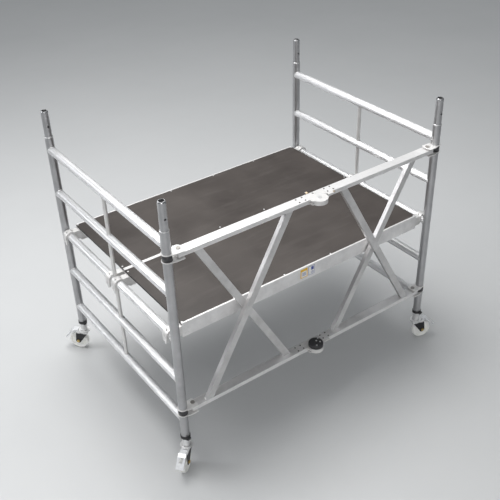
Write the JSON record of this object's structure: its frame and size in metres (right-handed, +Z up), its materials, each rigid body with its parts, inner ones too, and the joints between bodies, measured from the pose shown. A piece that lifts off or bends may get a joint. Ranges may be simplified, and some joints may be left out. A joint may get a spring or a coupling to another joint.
{
  "type": "baker scaffold",
  "caption": "Rolling indoor scaffold: ladder end frames on braked castors, a folding cross-braced front gate and lift-off platforms hooked over the rungs.",
  "frame": {"origin": "floor level, under the middle of the whole scaffold's plan outline", "axes": "+Z up, X from the left end frame to the right end frame, the folding gate on the -Y side"},
  "size_m": [2.0606, 1.4976, 1.717],
  "materials": {
    "frame_tube": "extruded tube, satin mill finish",
    "rung_tube": "extruded tube with grip flutes, satin",
    "gate_tube": "extruded rectangular section, satin",
    "cast_alloy": "cast, lightly blasted",
    "zinc_plated": "bright zinc plate",
    "black_plastic": "moulded, fine grain",
    "brass": "turned, slightly dull",
    "board": "film-faced plywood with fine anti-slip mesh",
    "nylon": "moulded nylon, slightly scuffed"
  },
  "bodies": {
    "frame_left": {"post_fl": "frame_tube", "post_bl": "frame_tube", "rungs_left": "rung_tube", "mid_tubes_left": "rung_tube", "spigots_left": "frame_tube", "collars_left": "black_plastic", "stems_left": "zinc_plated"},
    "frame_right": {"post_fr": "frame_tube", "post_br": "frame_tube", "rungs_right": "rung_tube", "mid_tubes_right": "rung_tube", "spigots_right": "frame_tube", "collars_right": "black_plastic", "stems_right": "zinc_plated"},
    "gate_left": {"brackets_left": "zinc_plated", "bracket_pins_left": "zinc_plated", "chord_left_top": "gate_tube", "chord_left_bottom": "gate_tube", "brace_left_front": "gate_tube", "brace_left_back": "gate_tube", "hinge_left": "cast_alloy", "hinge_rivets_left": "zinc_plated", "hinge_cap": "black_plastic"},
    "gate_right": {"brackets_right": "zinc_plated", "bracket_pins_right": "zinc_plated", "chord_right_top": "gate_tube", "chord_right_bottom": "gate_tube", "brace_right_front": "gate_tube", "brace_right_back": "gate_tube", "hinge_right": "cast_alloy", "hinge_rivets_right": "zinc_plated"},
    "plunger": {"lock_plunger": "brass"},
    "deck_front": {"board_front": "board", "deck_frame_front": "gate_tube", "claws_front": "cast_alloy", "deck_rivets_front": "zinc_plated"},
    "deck_back": {"board_back": "board", "deck_frame_back": "gate_tube", "claws_back": "cast_alloy", "deck_rivets_back": "zinc_plated"},
    "catch_fl": {"pawl_fl": "zinc_plated"},
    "catch_fr": {"pawl_fr": "zinc_plated"},
    "catch_bl": {"pawl_bl": "zinc_plated"},
    "catch_br": {"pawl_br": "zinc_plated"},
    "castor_fl": {"fork_fl": "zinc_plated", "axle_fl": "brass"},
    "roller_fl": {"wheel_fl": "nylon"},
    "brake_fl": {"pedal_fl": "zinc_plated"},
    "castor_bl": {"fork_bl": "zinc_plated", "axle_bl": "brass"},
    "roller_bl": {"wheel_bl": "nylon"},
    "brake_bl": {"pedal_bl": "zinc_plated"},
    "castor_fr": {"fork_fr": "zinc_plated", "axle_fr": "brass"},
    "roller_fr": {"wheel_fr": "nylon"},
    "brake_fr": {"pedal_fr": "zinc_plated"},
    "castor_br": {"fork_br": "zinc_plated", "axle_br": "brass"},
    "roller_br": {"wheel_br": "nylon"},
    "brake_br": {"pedal_br": "zinc_plated"}
  },
  "joints": [
    {"name": "deck_front_lift", "type": "slide", "parent": "frame_left", "child": "deck_front", "axis": [0, 0.3162, 0.9487], "range_m": [0, 4.1]},
    {"name": "deck_back_lift", "type": "slide", "parent": "frame_left", "child": "deck_back", "axis": [0, 0.3162, 0.9487], "range_m": [0, 4.1]},
    {"name": "gate_left_swing", "type": "hinge", "parent": "frame_left", "child": "gate_left", "pos_m": [-0.90676, -0.63994, 0], "axis": [0, 0, 1], "range_deg": [0, 78]},
    {"name": "gate_knee", "type": "hinge", "parent": "gate_left", "child": "gate_right", "pos_m": [-0.00676, -0.67694, 1.412], "axis": [0, 0, 1], "range_deg": [-156, 0]},
    {"name": "gate_right_swing", "type": "hinge", "parent": "gate_right", "child": "frame_right", "pos_m": [0.89324, -0.63994, 0], "axis": [0, 0, 1], "range_deg": [0, 78]},
    {"name": "plunger_pull", "type": "slide", "parent": "gate_left", "child": "plunger", "axis": [0, 1, 0], "range_m": [0, 0.006]},
    {"name": "catch_fl_swing", "type": "hinge", "parent": "deck_front", "child": "catch_fl", "pos_m": [-0.93576, -0.31344, 0.883], "axis": [0, -1, 0], "range_deg": [0, 80]},
    {"name": "catch_fr_swing", "type": "hinge", "parent": "deck_front", "child": "catch_fr", "pos_m": [0.92224, -0.31344, 0.883], "axis": [0, 1, 0], "range_deg": [0, 80]},
    {"name": "catch_bl_swing", "type": "hinge", "parent": "deck_back", "child": "catch_bl", "pos_m": [-0.93576, 0.30356, 0.883], "axis": [0, -1, 0], "range_deg": [0, 80]},
    {"name": "catch_br_swing", "type": "hinge", "parent": "deck_back", "child": "catch_br", "pos_m": [0.92224, 0.30356, 0.883], "axis": [0, 1, 0], "range_deg": [0, 80]},
    {"name": "castor_fl_swivel", "type": "hinge", "parent": "frame_left", "child": "castor_fl", "pos_m": [-0.90676, -0.63994, 0.139], "axis": [0, 0, 1], "continuous": true},
    {"name": "roller_fl_turn", "type": "hinge", "parent": "castor_fl", "child": "roller_fl", "pos_m": [-0.94123, -0.66887, 0.0625], "axis": [0.6428, -0.766, 0], "continuous": true},
    {"name": "brake_fl_press", "type": "hinge", "parent": "castor_fl", "child": "brake_fl", "pos_m": [-0.94047, -0.66823, 0.136], "axis": [0.6428, -0.766, 0], "range_deg": [0, 10]},
    {"name": "castor_bl_swivel", "type": "hinge", "parent": "frame_left", "child": "castor_bl", "pos_m": [-0.90676, 0.63006, 0.139], "axis": [0, 0, 1], "continuous": true},
    {"name": "roller_bl_turn", "type": "hinge", "parent": "castor_bl", "child": "roller_bl", "pos_m": [-0.93569, 0.66453, 0.0625], "axis": [-0.766, -0.6428, 0], "continuous": true},
    {"name": "brake_bl_press", "type": "hinge", "parent": "castor_bl", "child": "brake_bl", "pos_m": [-0.93504, 0.66376, 0.136], "axis": [-0.766, -0.6428, 0], "range_deg": [-8, 2]},
    {"name": "castor_fr_swivel", "type": "hinge", "parent": "frame_right", "child": "castor_fr", "pos_m": [0.89324, -0.63994, 0.139], "axis": [0, 0, 1], "continuous": true},
    {"name": "roller_fr_turn", "type": "hinge", "parent": "castor_fr", "child": "roller_fr", "pos_m": [0.93671, -0.65159, 0.0625], "axis": [0.2588, 0.9659, 0], "continuous": true},
    {"name": "brake_fr_press", "type": "hinge", "parent": "castor_fr", "child": "brake_fr", "pos_m": [0.93574, -0.65133, 0.136], "axis": [0.2588, 0.9659, 0], "range_deg": [-8, 2]},
    {"name": "castor_br_swivel", "type": "hinge", "parent": "frame_right", "child": "castor_br", "pos_m": [0.89324, 0.63006, 0.139], "axis": [0, 0, 1], "continuous": true},
    {"name": "roller_br_turn", "type": "hinge", "parent": "castor_br", "child": "roller_br", "pos_m": [0.9301, 0.65587, 0.0625], "axis": [-0.5736, 0.8192, 0], "continuous": true},
    {"name": "brake_br_press", "type": "hinge", "parent": "castor_br", "child": "brake_br", "pos_m": [0.92928, 0.65529, 0.136], "axis": [-0.5736, 0.8192, 0], "range_deg": [-8, 2]}
  ],
  "couplings": [
    {"joint": "deck_back_lift", "follows": "deck_front_lift", "ratio": 1},
    {"joint": "gate_left_swing", "follows": "deck_front_lift", "rad_per_m": 0.332},
    {"joint": "gate_knee", "follows": "deck_front_lift", "rad_per_m": -0.664},
    {"joint": "gate_right_swing", "follows": "deck_front_lift", "rad_per_m": 0.332}
  ]
}
